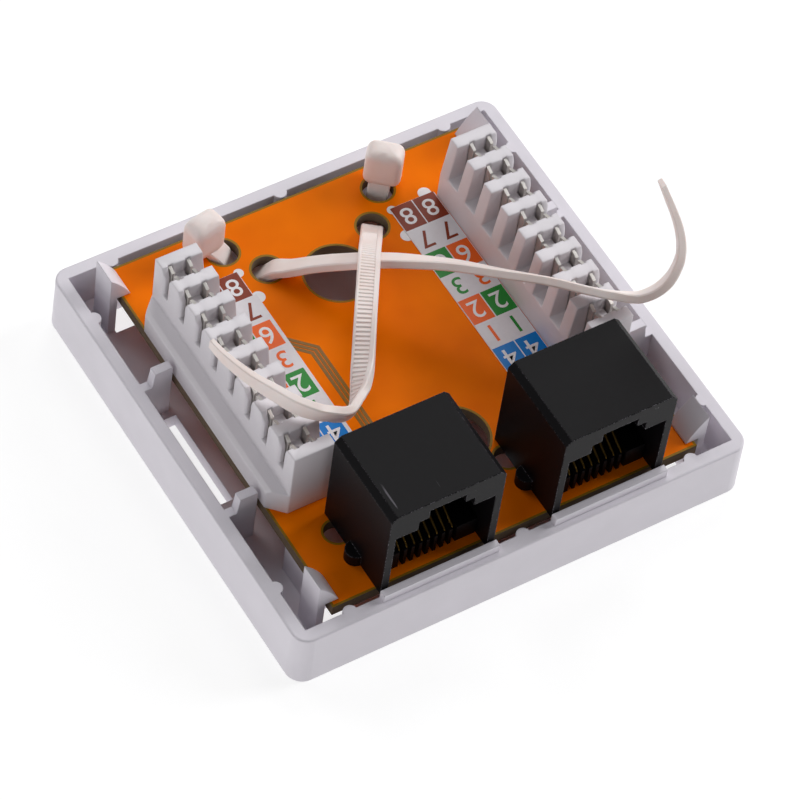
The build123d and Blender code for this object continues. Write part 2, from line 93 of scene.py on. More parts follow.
def new_material(name):
    """An empty node material and its tree."""
    made = bpy.data.materials.new(name)
    made.use_nodes = True
    made.node_tree.nodes.clear()
    return made, made.node_tree


def close_material(tree, shader):
    """Link the finished shader to the material's output."""
    add(tree, "ShaderNodeOutputMaterial", {"Surface": shader.outputs[0]})


def grain(tree, size, detail=3.0, stretch=None):
    """A noise whose cells are about size metres across, in the object's own space."""
    place = add(tree, "ShaderNodeTexCoord").outputs["Object"]
    if stretch:
        mapping = add(tree, "ShaderNodeMapping", {"Vector": place, "Scale": stretch})
        place = mapping.outputs["Vector"]
    return add(tree, "ShaderNodeTexNoise", {"Vector": place, "Scale": 1 / size, "Detail": detail})


def between(tree, factor, first, second):
    """A colour that goes from first to second with the factor."""
    return add(tree, "ShaderNodeMix", {0: factor, 6: first, 7: second}, data_type="RGBA").outputs[2]


def ranged(tree, value, low, high, start=0.0, stop=1.0):
    """A value stretched from start..stop to low..high, and held at both ends."""
    sockets = {"Value": value, "From Min": start, "From Max": stop, "To Min": low, "To Max": high}
    return add(tree, "ShaderNodeMapRange", sockets).outputs["Result"]


def mottled(tree, noise, first, second):
    """A colour that drifts from first to second over the middle of a noise's range."""
    return between(tree, ranged(tree, noise.outputs["Fac"], 0, 1, 0.3, 0.7), first, second)


def rounded_normal(tree, edge):
    """A normal with edges rounded by edge metres."""
    return add(tree, "ShaderNodeBevel", {"Radius": edge}, samples=6).outputs["Normal"]


def relief(tree, height, depth, normal=None):
    """A normal with a relief of the given depth in metres."""
    sockets = {"Height": height.outputs["Fac"], "Distance": depth}
    if normal is not None:
        sockets["Normal"] = normal
    return add(tree, "ShaderNodeBump", sockets).outputs["Normal"]


def moulded_plastic(name, colour, second, rough, edge, **constants):
    """Injection-moulded plastic: a fine spark-eroded grain, faint flow mottling, soft edges."""
    made, tree = new_material(name)
    # Flow marks 6 mm across shift the tone a little; the mould's grain is 0.25 mm
    flow = grain(tree, 6 * MM)
    fine = grain(tree, 0.25 * MM, 2.0)
    sockets = {
        "Base Color": mottled(tree, flow, colour, second),
        "Roughness": ranged(tree, fine.outputs["Fac"], rough - 0.06, rough + 0.06),
        "Normal": relief(tree, fine, 0.006 * MM, rounded_normal(tree, edge)),
    }
    sockets.update(constants)
    close_material(tree, add(tree, "ShaderNodeBsdfPrincipled", sockets))
    return made


def plain_coat(name, colour, rough, ior=1.5):
    """A printed ink or film: an even colour with a faint unevenness in its gloss."""
    made, tree = new_material(name)
    fine = grain(tree, 0.6 * MM, 2.0)
    shader = add(tree, "ShaderNodeBsdfPrincipled", {
        "Base Color": between(tree, fine.outputs["Fac"], colour, toned(colour, 0.92)),
        "Roughness": ranged(tree, fine.outputs["Fac"], rough - 0.05, rough + 0.05),
        "IOR": ior,
        "Specular IOR Level": 0.2,
    })
    close_material(tree, shader)
    return made


def solder_mask(name, mask, deep, laminate):
    """Orange solder mask on glass-fibre laminate: even lacquer on its faces, sawn brown edges."""
    made, tree = new_material(name)
    facing = add(tree, "ShaderNodeNewGeometry").outputs["True Normal"]
    tilt = add(tree, "ShaderNodeSeparateXYZ", {"Vector": facing}).outputs["Z"]
    level = add(tree, "ShaderNodeMath", {0: tilt}, operation="ABSOLUTE").outputs[0]
    flat = add(tree, "ShaderNodeMath", {0: level, 1: 0.5}, operation="GREATER_THAN").outputs[0]
    # The lacquer pools in patches some 9 mm across; the cloth under it has 0.5 mm threads
    pool = grain(tree, 9 * MM, 2.0)
    thread = grain(tree, 0.5 * MM, 2.0, (1.0, 0.25, 1.0))
    fibre = grain(tree, 0.3 * MM, 4.0, (0.15, 0.15, 1.0))
    lacquer = mottled(tree, pool, mask, deep)
    sawn = between(tree, fibre.outputs["Fac"], laminate, toned(laminate, 0.55))
    shader = add(tree, "ShaderNodeBsdfPrincipled", {
        "Base Color": between(tree, flat, sawn, lacquer),
        "Roughness": ranged(tree, flat, 0.75, 0.38),
        "IOR": 1.52,
        "Specular IOR Level": 0.02,
        "Normal": relief(tree, thread, 0.004 * MM),
    })
    close_material(tree, shader)
    return made


def black_thermoplastic(name, colour, scuffed):
    """Glass-filled black PBT: low sheen, pale scuffs along its corners and hairline scratches."""
    made, tree = new_material(name)
    # Wear shows as specks 0.18 mm across; the scratches are hairs a millimetre apart
    speck = grain(tree, 0.18 * MM, 4.0)
    hair = grain(tree, 1.1 * MM, 3.0, (1.0, 0.06, 1.0))
    fine = grain(tree, 0.12 * MM, 2.0)
    rounded = rounded_normal(tree, 0.22 * MM)
    flat = add(tree, "ShaderNodeNewGeometry").outputs["Normal"]
    match = add(tree, "ShaderNodeVectorMath", {0: rounded, 1: flat}, operation="DOT_PRODUCT")
    corner = ranged(tree, match.outputs["Value"], 1.0, 0.0, 0.75, 0.995)
    patchy = ranged(tree, speck.outputs["Fac"], 0, 1, 0.5, 0.62)
    edge = add(tree, "ShaderNodeMath", {0: corner, 1: patchy}, operation="MULTIPLY").outputs[0]
    scratch = ranged(tree, hair.outputs["Fac"], 0, 0.4, 0.72, 0.74)
    worn = add(tree, "ShaderNodeMath", {0: edge, 1: scratch}, operation="MAXIMUM").outputs[0]
    shader = add(tree, "ShaderNodeBsdfPrincipled", {
        "Base Color": between(tree, worn, colour, scuffed),
        "Roughness": ranged(tree, fine.outputs["Fac"], 0.42, 0.56),
        "IOR": 1.55,
        "Specular IOR Level": 0.12,
        "Normal": relief(tree, fine, 0.004 * MM, rounded),
    })
    close_material(tree, shader)
    return made


def plated_metal(name, colour, dull, rough):
    """Plated stamping or wire: drawn marks 0.15 mm apart and a cloudy plating."""
    made, tree = new_material(name)
    cloud = grain(tree, 1.2 * MM, 3.0)
    drawn = grain(tree, 0.15 * MM, 2.0, (1.0, 1.0, 0.1))
    shader = add(tree, "ShaderNodeBsdfPrincipled", {
        "Base Color": between(tree, cloud.outputs["Fac"], colour, dull),
        "Metallic": 1.0,
        "Roughness": ranged(tree, cloud.outputs["Fac"], rough - 0.07, rough + 0.12, 0.3, 0.7),
        "Normal": relief(tree, drawn, 0.002 * MM, rounded_normal(tree, 0.05 * MM)),
    })
    close_material(tree, shader)
    return made


def natural_nylon(name, colour, warm):
    """Natural polyamide 6.6: milky, lit from inside at thin edges, with a faint flow haze."""
    made, tree = new_material(name)
    haze = grain(tree, 4 * MM, 3.0)
    fine = grain(tree, 0.2 * MM, 2.0)
    shader = add(tree, "ShaderNodeBsdfPrincipled", {
        "Base Color": mottled(tree, haze, colour, warm),
        "Roughness": ranged(tree, fine.outputs["Fac"], 0.36, 0.48),
        "IOR": 1.53,
        "Subsurface Weight": 0.2,
        "Subsurface Radius": (1.0, 0.75, 0.65),
        "Subsurface Scale": 0.8 * MM,
        "Normal": relief(tree, fine, 0.003 * MM, rounded_normal(tree, 0.08 * MM)),
    })
    close_material(tree, shader)
    return made


def dress(node, material):
    """Give a CAD node its finished material."""
    piece = NODES[node]
    if piece.material_slots:
        for held in piece.material_slots:
            held.material = material
    else:
        piece.data.materials.append(material)


def finish_piece(name, mesh, materials, slot, *replaced, smooth=None):
    """Make an object of a mesh, ride it on the outlet and hide the CAD parts it replaces."""
    for material in materials:
        mesh.materials.append(material)
    if smooth is not None:
        mesh.polygons.foreach_set("use_smooth", [True] * len(mesh.polygons))
        mesh.set_sharp_from_angle(angle=radians(smooth))
    piece = bpy.data.objects.new(name, mesh)
    bpy.context.scene.collection.objects.link(piece)
    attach(piece, BODY)
    if replaced:
        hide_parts(*replaced)
    return piece


def mesh_of(bm, name):
    """Turn a bmesh into a mesh with outward faces."""
    bmesh.ops.recalc_face_normals(bm, faces=bm.faces)
    mesh = bpy.data.meshes.new(name)
    bm.to_mesh(mesh)
    bm.free()
    return mesh


def rounded_copy(node, name, reach):
    """A copy of a CAD mesh whose sharp edges are really rounded, by reach metres."""
    bm = bmesh.new()
    bm.from_mesh(NODES[node].data)
    bmesh.ops.remove_doubles(bm, verts=bm.verts, dist=0.001 * MM)
    bmesh.ops.dissolve_limit(bm, angle_limit=radians(1), verts=bm.verts, edges=bm.edges)
    sharp = [e for e in bm.edges if len(e.link_faces) == 2 and e.calc_face_angle(0) > radians(30)]
    bmesh.ops.bevel(
        bm, geom=sharp, offset=reach, offset_type="OFFSET", segments=3, profile=0.5,
        affect="EDGES", clamp_overlap=True,
    )
    return mesh_of(bm, name)


def bridge(bm, first, second):
    """Join two closed loops of vertices with quads."""
    following = zip(first, first[1:] + first[:1], second, second[1:] + second[:1])
    return [bm.faces.new((a, b, d, c)) for a, b, c, d in following]


def prism(bm, outline, low, high, material=0):
    """Add a closed prism on an outline of (x, y) points."""
    bottom = [bm.verts.new((x, y, low)) for x, y in outline]
    top = [bm.verts.new((x, y, high)) for x, y in outline]
    faces = [bm.faces.new(list(reversed(bottom))), bm.faces.new(top)]
    for face in faces + bridge(bm, bottom, top):
        face.material_index = material


def circle(x, y, radius, count=40):
    """Points round a circle."""
    angles = [2 * pi * i / count for i in range(count)]
    return [(x + radius * cos(angle), y + radius * sin(angle)) for angle in angles]


def ring(bm, inner, outer, low, high):
    """Add a flat closed ring between two outlines with the same number of points."""
    section = ((inner, low), (outer, low), (outer, high), (inner, high))
    loops = [[bm.verts.new((x, y, z)) for x, y in line] for line, z in section]
    for loop, following in zip(loops, loops[1:] + loops[:1]):
        bridge(bm, loop, following)


def band(points, width):
    """The outline of a band of even width along a line of (x, y) points."""
    left, right = [], []
    for i, point in enumerate(points):
        before = Vector(points[max(i - 1, 0)])
        after = Vector(points[min(i + 1, len(points) - 1)])
        here = Vector(point)
        steps = [v.normalized() for v in (here - before, after - here) if v.length > 0]
        along = sum(steps, Vector((0, 0))).normalized()
        reach = width / 2 / max(along.dot(steps[0]), 0.5)
        side = Vector((-along.y, along.x)) * reach
        left.append(tuple(here + side))
        right.append(tuple(here - side))
    return left + right[::-1]


class OutletTray(bpy.types.PropertyGroup):
    """Finish of the moulded tray."""

    colour: bpy.props.FloatVectorProperty(
        name="Tray colour", description="Pale grey of the moulded tray", subtype="COLOR", size=4,
        default=linear("#E6E1E9"),
    )
    edge_round: bpy.props.FloatProperty(
        name="Edge rounding", description="Radius of the tray's softened edges",
        default=0.22 * MM, unit="LENGTH",
    )


class OutletBoard(bpy.types.PropertyGroup):
    """Finish and copper of the circuit board."""

    mask_colour: bpy.props.FloatVectorProperty(
        name="Solder mask", description="Orange of the lacquered faces", subtype="COLOR", size=4,
        default=linear("#FF7E00"),
    )
    trace_width: bpy.props.FloatProperty(
        name="Trace width", description="Width of a copper trace under the mask",
        default=0.42 * MM, unit="LENGTH",
    )
    trace_pitch: bpy.props.FloatProperty(
        name="Trace pitch", description="Distance between neighbouring traces",
        default=0.54 * MM, unit="LENGTH",
    )
    rim_width: bpy.props.FloatProperty(
        name="Bare rim", description="Width of bare laminate beside each hole and edge",
        default=0.28 * MM, unit="LENGTH",
    )


class OutletJacks(bpy.types.PropertyGroup):
    """Finish of the two jacks."""

    colour: bpy.props.FloatVectorProperty(
        name="Housing colour", description="Black of the jack housings", subtype="COLOR", size=4,
        default=linear("#0A080B"),
    )


class OutletBlocks(bpy.types.PropertyGroup):
    """Finish of the two punch-down blocks."""

    colour: bpy.props.FloatVectorProperty(
        name="Block colour", description="White of the block housings", subtype="COLOR", size=4,
        default=linear("#E4DFE4"),
    )
    edge_round: bpy.props.FloatProperty(
        name="Edge softening", description="Radius of the softened look along every edge",
        default=0.25 * MM, unit="LENGTH",
    )
    post_round: bpy.props.FloatProperty(
        name="Post rounding", description="Width of the rounded band along the posts' edges",
        default=0.2 * MM, unit="LENGTH",
    )


class OutletLabels(bpy.types.PropertyGroup):
    """Print of the two wiring labels."""

    digit_height: bpy.props.FloatProperty(
        name="Digit height", description="Size of the printed digits' type",
        default=3.7 * MM, unit="LENGTH",
    )
    cell_gap: bpy.props.FloatProperty(
        name="Cell gap", description="White line between neighbouring cells",
        default=0.16 * MM, unit="LENGTH",
    )
    inner_margin: bpy.props.FloatProperty(
        name="Inner margin", description="White margin along the left label's inner edge",
        default=0.4 * MM, unit="LENGTH",
    )
    dot_radius: bpy.props.FloatProperty(
        name="Dot radius", description="Radius of the white dots beside the labels",
        default=0.85 * MM, unit="LENGTH",
    )


class OutletTies(bpy.types.PropertyGroup):
    """Sizes of the two moulded cable ties."""

    strap_width: bpy.props.FloatProperty(
        name="Strap width", description="Width of the strap", default=2.7 * MM, unit="LENGTH",
    )
    strap_thickness: bpy.props.FloatProperty(
        name="Strap thickness", description="Thickness of the strap",
        default=1.1 * MM, unit="LENGTH",
    )
    tooth_pitch: bpy.props.FloatProperty(
        name="Tooth pitch", description="Distance between the strap's teeth",
        default=0.55 * MM, unit="LENGTH",
    )
    tooth_depth: bpy.props.FloatProperty(
        name="Tooth depth", description="Depth of the gullet between two teeth",
        default=0.13 * MM, unit="LENGTH",
    )
    head_width: bpy.props.FloatProperty(
        name="Head width", description="Width of the head, along the strap's width",
        default=4.7 * MM, unit="LENGTH",
    )
    head_thickness: bpy.props.FloatProperty(
        name="Head thickness", description="Thickness of the head", default=3.3 * MM, unit="LENGTH",
    )
    head_height: bpy.props.FloatProperty(
        name="Head height", description="Height of the head above the board",
        default=5.4 * MM, unit="LENGTH",
    )


class OUTLET_OT_tray(bpy.types.Operator):
    """Finish the moulded tray"""

    bl_idname = "outlet.tray"
    bl_label = "Tray"

    def execute(self, context):
        settings = context.scene.outlet_tray
        colour = settings.colour
        # Pale grey ABS straight from the mould: satin, faintly lilac in daylight
        abs_grey = moulded_plastic(
            "ABS_moulded_pale_grey", colour, toned(colour, 0.95), 0.44,
            settings.edge_round, IOR=1.54,
        )
        dress("base_tray", abs_grey)
        return {"FINISHED"}


class OUTLET_OT_board(bpy.types.Operator):
    """Finish the circuit board and add its traces, bare rims and solder"""

    bl_idname = "outlet.board"
    bl_label = "Circuit board"

    # Holes in millimetres
    big_hole_ys = (14.2, -12.9)
    big_hole_radius = 4.2
    tie_hole_radius = 1.95
    ring_hole_y = -18.2
    ring_hole_xs = (-19.24, -4.0, 4.0, 19.24)
    ring_hole_radius = 1.6
    rim_height = 0.012
    # Traces in millimetres: the middle one's bend, its slanting run along X and Y, and its end
    trace_bend = (-8.33, 5.5)
    trace_slant = 3.4
    trace_end_y = -17.0
    trace_height = 0.03
    trace_mitre = 0.414  # keeps the traces' distance through a bend of 45 degrees
    # Solder fillet in millimetres: radius, and drop below the board
    fillet = ((0.85, 0.0), (0.55, 0.15), (0.38, 0.45), (0.3, 0.75))
    fillet_steps = 16
    tail_end = 0.1

    def execute(self, context):
        settings = context.scene.outlet_board
        # FR-4 laminate with an orange mask: even in tone, and brown where it is sawn
        mask = solder_mask(
            "FR4_orange_solder_mask", settings.mask_colour, linear("#EE6F00"), linear("#8C7A66"),
        )
        dress("circuit_board", mask)
        self.lay_traces(settings)
        self.bare_rims(settings)
        self.solder_tails()
        return {"FINISHED"}

    def lay_traces(self, settings):
        """Three parallel traces that run from under the left label to the left jack."""
        # Copper seen through the lacquer: olive
        copper = plain_coat("copper_under_orange_mask", linear("#8A6210"), 0.36, 1.52)
        bm = bmesh.new()
        bend_x, bend_y = self.trace_bend
        for i in (-1, 0, 1):
            x = bend_x * MM + i * settings.trace_pitch
            y = bend_y * MM + i * settings.trace_pitch * self.trace_mitre
            slant = self.trace_slant * MM
            points = [(x - slant, y + slant), (x, y), (x, self.trace_end_y * MM)]
            outline = band(points, settings.trace_width)
            prism(bm, outline, BOARD_TOP - SUNK, BOARD_TOP + self.trace_height * MM)
        finish_piece("board_traces", mesh_of(bm, "board_traces"), [copper], "board_laminate")

    def bare_rims(self, settings):
        """Narrow strips of bare laminate beside the holes and along the board's edges."""
        # Laminate with no mask: greenish brown glass cloth
        bare = plain_coat("FR4_bare_rim", linear("#94700F"), 0.5)
        bm = bmesh.new()
        low, high = BOARD_TOP - SUNK, BOARD_TOP + self.rim_height * MM
        holes = [(0, y, self.big_hole_radius) for y in self.big_hole_ys]
        for x, y in (HEAD_HOLE, STRAP_HOLE):
            holes += [(sign * x, y, self.tie_hole_radius) for _, sign in SIDES]
        holes += [(x, self.ring_hole_y, self.ring_hole_radius) for x in self.ring_hole_xs]
        for x, y, radius in holes:
            inner = circle(x * MM, y * MM, radius * MM)
            outer = circle(x * MM, y * MM, radius * MM + settings.rim_width)
            ring(bm, inner, outer, low, high)
        far_x, far_y = BOARD_HIGH.x, BOARD_HIGH.y
        near_x, near_y = far_x - settings.rim_width, far_y - settings.rim_width
        ring(
            bm, [(a * near_x, b * near_y) for a, b in CORNERS],
            [(a * far_x, b * far_y) for a, b in CORNERS], low, high,
        )
        finish_piece("board_bare_rims", mesh_of(bm, "board_bare_rims"), [bare], "board_laminate")

    def solder_tails(self):
        """A solder fillet round every contact tail on the board's underside."""
        # Lead-free solder: bright, slightly frosted
        solder = plated_metal("solder_lead_free", linear("#C9C9C6"), linear("#9A9A98"), 0.3)
        bm = bmesh.new()
        for name, piece in NODES.items():
            if "_contact_" not in name:
                continue
            points = [v.co for v in piece.data.vertices]
            lowest = min(point.z for point in points)
            tail = [point for point in points if point.z < lowest + self.tail_end * MM]
            x = sum(point.x for point in tail) / len(tail)
            y = sum(point.y for point in tail) / len(tail)
            rings = []
            for radius, drop in self.fillet:
                z = BOARD_BOTTOM - drop * MM
                outline = circle(x, y, radius * MM, self.fillet_steps)
                rings.append([bm.verts.new((px, py, z)) for px, py in outline])
            for upper, lower in zip(rings, rings[1:]):
                bridge(bm, upper, lower)
            bm.faces.new(rings[0])
            bm.faces.new(rings[-1])
        mesh = mesh_of(bm, "solder_fillets")
        finish_piece("solder_fillets", mesh, [solder], "contact_tin", smooth=40)


class OUTLET_OT_jacks(bpy.types.Operator):
    """Finish the jack housings, their carriers and contact wires"""

    bl_idname = "outlet.jacks"
    bl_label = "Jacks"

    def execute(self, context):
        settings = context.scene.outlet_jacks
        # Glass-filled PBT: near black, with a satin skin that scuffs pale at the corners
        housing = black_thermoplastic("PBT_moulded_black", settings.colour, linear("#8C8890"))
        # The carrier is the same resin with no wear
        carrier = moulded_plastic(
            "PBT_moulded_black_carrier", settings.colour, linear("#070608"), 0.5, 0.08 * MM,
            **{"Specular IOR Level": 0.2}
        )
        # Gold flash on phosphor bronze wire, both its colours darkened as painted shade for the
        # wires deep in the jacks' ports
        gold = plated_metal(
            "phosphor_bronze_gold_flash_painted_shade", linear("#8A6C34"), linear("#5C4622"), 0.34,
        )
        for side, _ in SIDES:
            dress(f"jack_housing_{side}", housing)
            dress(f"jack_carrier_{side}", carrier)
            for i in range(1, 9):
                dress(f"jack_contact_{side}_{i}", gold)
        return {"FINISHED"}


class OUTLET_OT_blocks(bpy.types.Operator):
    """Finish the punch-down blocks and their fork contacts"""

    bl_idname = "outlet.blocks"
    bl_label = "Punch-down blocks"

    def execute(self, context):
        settings = context.scene.outlet_blocks
        colour = settings.colour
        # White polycarbonate blend: clean satin with rounded post edges
        white = moulded_plastic(
            "PC_moulded_white", colour, toned(colour, 0.96), 0.38,
            settings.edge_round, IOR=1.58,
        )
        # Tin-plated bronze: grey-white and slightly cloudy, bright on its cut edges
        tin = plated_metal("bronze_tin_plated", linear("#F1EEEA"), linear("#CFCAC4"), 0.42)
        for side, _ in SIDES:
            node = f"idc_housing_{side}"
            mesh = rounded_copy(node, f"{node}_moulding", settings.post_round)
            finish_piece(f"{node}_moulding", mesh, [white], "idc_plastic", node, smooth=35)
            for i in range(1, 9):
                dress(f"idc_contact_{side}_{i}", tin)
        return {"FINISHED"}


class OUTLET_OT_labels(bpy.types.Operator):
    """Print the wiring labels: two columns of numbered, coloured cells"""

    bl_idname = "outlet.labels"
    bl_label = "Wiring labels"

    inks = {
        "film": "#E9E6EA", "brown": "#8A3314", "green": "#2C9038", "orange": "#FA6A1C",
        "blue": "#007FD4", "white": "#F2F0F2",
    }
    # Rows from the back to the front: digit, then ground and digit ink of each column
    rows = (
        ("8", ("brown", "white"), ("brown", "white")),
        ("7", ("film", "brown"), ("film", "brown")),
        ("6", ("green", "white"), ("orange", "white")),
        ("3", ("film", "green"), ("film", "orange")),
        ("2", ("orange", "white"), ("green", "white")),
        ("1", ("film", "orange"), ("film", "green")),
        ("4", ("blue", "white"), ("blue", "white")),
        ("5", ("film", "blue"), ("film", "blue")),
    )
    # White dots beside the labels: place in millimetres, and share of the dot radius
    dots = (
        (15.68, 20.1, 1.0), (10.4, 15.4, 1.0), (10.75, 19.6, 0.75),
        (-10.4, 15.4, 1.0), (-10.75, 19.6, 0.75),
    )
    dot_height = 0.02
    dot_steps = 28
    # Print in millimetres: how far a patch reaches into the film, and how far ink stands on it
    patch_sunk = 0.005
    ink_height = 0.006
    digit_swell = 0.01
    row_gap_share = 0.3  # of the gap between columns

    def execute(self, context):
        settings = context.scene.outlet_labels
        # Screen-printed vinyl film: even colours with a low, smooth gloss
        materials = [
            plain_coat(f"label_ink_{ink}", linear(code), 0.4) for ink, code in self.inks.items()
        ]
        for side, _ in SIDES:
            self.print_label(side, settings, materials)
        self.print_dots(settings, materials[list(self.inks).index("white")])
        return {"FINISHED"}

    def print_label(self, side, settings, materials):
        """One label: its film, a thin patch for each coloured cell, and the digits."""
        order = list(self.inks)
        node = f"wiring_label_{side}"
        low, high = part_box(node)
        pitch = (high.y - low.y) / len(self.rows)
        bm = bmesh.new()
        if side == "left":
            # Here the print sits off centre, and its white ground stops short of the tie hole
            margin = settings.inner_margin
            notch_x, notch_y = high.x - margin, high.y - pitch
            outline = [
                (low.x, low.y), (high.x, low.y), (high.x, notch_y),
                (notch_x, notch_y), (notch_x, high.y), (low.x, high.y),
            ]
            prism(bm, outline, low.z, high.z)
        else:
            margin = 0
            bm.from_mesh(NODES[node].data)
        column = (high.x - margin - low.x) / 2
        gap = settings.cell_gap / 2
        for r, (digit, *columns) in enumerate(self.rows):
            y = high.y - (r + 0.5) * pitch
            for c, (ground, ink) in enumerate(columns):
                x = low.x + (c + 0.5) * column
                half_x, half_y = column / 2 - gap, pitch / 2 - gap * self.row_gap_share
                if ground != "film":
                    patch = [(x + a * half_x, y + b * half_y) for a, b in CORNERS]
                    bottom, top = high.z - self.patch_sunk * MM, high.z + self.ink_height * MM
                    prism(bm, patch, bottom, top, order.index(ground))
                self.print_digit(bm, digit, x, y, high.z, settings.digit_height, order.index(ink))
        mesh = mesh_of(bm, f"{node}_print")
        finish_piece(f"{node}_print", mesh, materials, "label_film", node)

    def print_digit(self, bm, digit, x, y, z, size, ink):
        """Add a digit that is read from the back of the outlet."""
        type_curve = bpy.data.curves.new(f"digit_{digit}", "FONT")
        type_curve.body = digit
        type_curve.size = size
        type_curve.align_x = "CENTER"
        type_curve.align_y = "CENTER"
        type_curve.offset = self.digit_swell * MM
        type_curve.extrude = self.ink_height * MM
        type_curve.resolution_u = 4
        typed = bpy.data.objects.new(f"digit_{digit}", type_curve)
        letter = bpy.data.meshes.new_from_object(typed)
        xs = [v.co.x for v in letter.vertices]
        ys = [v.co.y for v in letter.vertices]
        middle = Vector((min(xs) + max(xs), min(ys) + max(ys), 0)) / 2
        turned = Matrix.Translation((x, y, z + self.ink_height * MM)) @ Matrix.Rotation(pi, 4, "Z")
        letter.transform(turned @ Matrix.Translation(-middle))
        known = len(bm.faces)
        bm.from_mesh(letter)
        bm.faces.ensure_lookup_table()
        for face in bm.faces[known:]:
            face.material_index = ink
        bpy.data.objects.remove(typed)
        bpy.data.curves.remove(type_curve)
        bpy.data.meshes.remove(letter)

    def print_dots(self, settings, white):
        """Round white dots of silkscreen beside the labels."""
        bm = bmesh.new()
        for x, y, share in self.dots:
            outline = circle(x * MM, y * MM, settings.dot_radius * share, self.dot_steps)
            prism(bm, outline, BOARD_TOP - SUNK, BOARD_TOP + self.dot_height * MM)
        finish_piece("board_dots", mesh_of(bm, "board_dots"), [white], "label_film")


class OUTLET_OT_ties(bpy.types.Operator):
    """Build the two cable ties with their toothed straps and domed heads"""

    bl_idname = "outlet.ties"
    bl_label = "Cable ties"

    # Millimetres and degrees, as in the part's source
    head_gap = 1.0
    head_shifts = {"left": (2.2, 1.1), "right": (1.0, 0.85)}
    head_turns = {"left": -37.4, "right": 0.0}
    strap_start = 1.1  # above the head's foot
    strap_under = 1.25
    bend_rise = 0.75
    # Along X and Y from the strap hole, height above the board, and twist in degrees
    routes = {
        "left": (
            (0.58, -0.73, 0.56, -6), (1.87, -1.98, 1.41, -14), (4.25, -4.24, 3.46, -18),
            (7.21, -7.14, 5.61, -20), (9.53, -9.50, 7.16, -26), (11.46, -11.43, 8.16, -30),
            (15.52, -15.54, 9.76, -40), (19.43, -19.92, 10.96, -48), (23.43, -24.12, 11.96, -53),
            (27.26, -28.03, 12.21, -53), (29.19, -29.62, 12.26, -49), (30.92, -31.00, 12.56, -42),
            (32.13, -31.97, 13.66, -29), (33.08, -32.98, 15.96, -16), (33.68, -33.44, 18.06, -7),
            (34.06, -33.58, 20.56, -2), (34.00, -33.53, 22.84, 9), (33.73, -33.26, 25.00, 18),
            (33.19, -32.72, 27.54, 25), (32.41, -31.95, 30.12, 29), (31.25, -30.88, 33.66, 30),
        ),
        "right": (
            (-1.50, -2.00, 1.50, 0), (-3.17, -4.27, 4.26, 0), (-4.77, -6.41, 6.66, 0),
            (-6.47, -8.72, 8.66, 0), (-8.46, -11.60, 10.06, 0), (-12.18, -17.17, 10.66, 3),
            (-15.60, -22.57, 8.76, 16), (-17.19, -24.89, 8.06, 46), (-18.11, -25.95, 7.86, 67),
            (-19.05, -26.84, 7.96, 76), (-20.27, -27.58, 8.46, 66), (-21.50, -28.13, 9.36, 51),
            (-23.28, -28.78, 11.23, 41), (-25.50, -28.46, 12.64, 41), (-27.28, -26.64, 12.88, 45),
            (-28.44, -24.36, 12.84, 48), (-30.09, -21.02, 12.96, 48), (-31.49, -17.34, 13.36, 49),
            (-31.93, -14.96, 13.56, 46),
        ),
    }
    # The strap's last stretch thins; its two ends have no teeth
    tip_length = 13.0
    tip_share = 0.55
    smooth_start = 17.5
    smooth_end = 7.0
    line_step = 0.08
    stations_per_tooth = 5
    edge_chamfer = 0.16
    smooth_depth = 0.012
    tooth_margins = (0.36, 0.62)
    # The head's low dome, its rounded foot, and the power that squares its outline
    head_rows = 14
    head_steps = 28
    dome = 1.5
    dome_pulls = (0.8, 0.6)
    foot_round = 0.25
    foot_height = 0.6
    squareness = 0.42

    def execute(self, context):
        settings = context.scene.outlet_ties
        nylon = natural_nylon("PA66_moulded_natural", linear("#FBEEEA"), linear("#F7E6E0"))
        for side, sign in SIDES:
            line = self.strap_line(side, sign)
            bm = bmesh.new()
            self.build_strap(bm, line, settings, 1 if side == "right" else -1)
            self.build_head(bm, line[0], self.head_turns[side], settings)
            node = f"cable_tie_{side}"
            mesh = mesh_of(bm, f"{node}_moulding")
            finish_piece(f"{node}_moulding", mesh, [nylon], "tie_nylon", node, smooth=32)
        return {"FINISHED"}

    def sections(self, side, sign):
        """The strap's own points and width directions, from the head to the tip."""
        top = BOARD_TOP / MM
        bottom = BOARD_BOTTOM / MM
        start = Vector((sign * HEAD_HOLE[0], HEAD_HOLE[1], 0))
        stop = Vector((sign * STRAP_HOLE[0], STRAP_HOLE[1], 0))
        along = (stop - start).normalized()
        across = Vector((-along.y, along.x, 0))
        span = (stop - start).length
        low = bottom - self.strap_under
        bend = low + self.bend_rise
        inside = top - (top - bottom) * 0.4
        out, back = self.head_shifts[side]
        head = start + Vector((sign * out, back, top + self.head_gap + self.strap_start))
        points = [(head, across)]
        run = (
            (0.0, inside), (0.55, bend), (1.5, low),
            (span - 2.2, low), (span - 1.0, bend), (span, inside),
        )
        points += [(start + along * reach + Vector((0, 0, z)), across) for reach, z in run]
        hole = stop + Vector((0, 0, top))
        places = [hole + Vector((x, y, rise)) for x, y, rise, _ in self.routes[side]]
        level = Vector((0, 0, 1)).cross(places[1] - places[0])
        for i, place in enumerate(places):
            ahead = (places[min(i + 1, len(places) - 1)] - places[max(i - 1, 0)]).normalized()
            level = (level - ahead * level.dot(ahead)).normalized()
            twist = radians(self.routes[side][i][3])
            points.append((place, level * cos(twist) + ahead.cross(level) * sin(twist)))
        return points

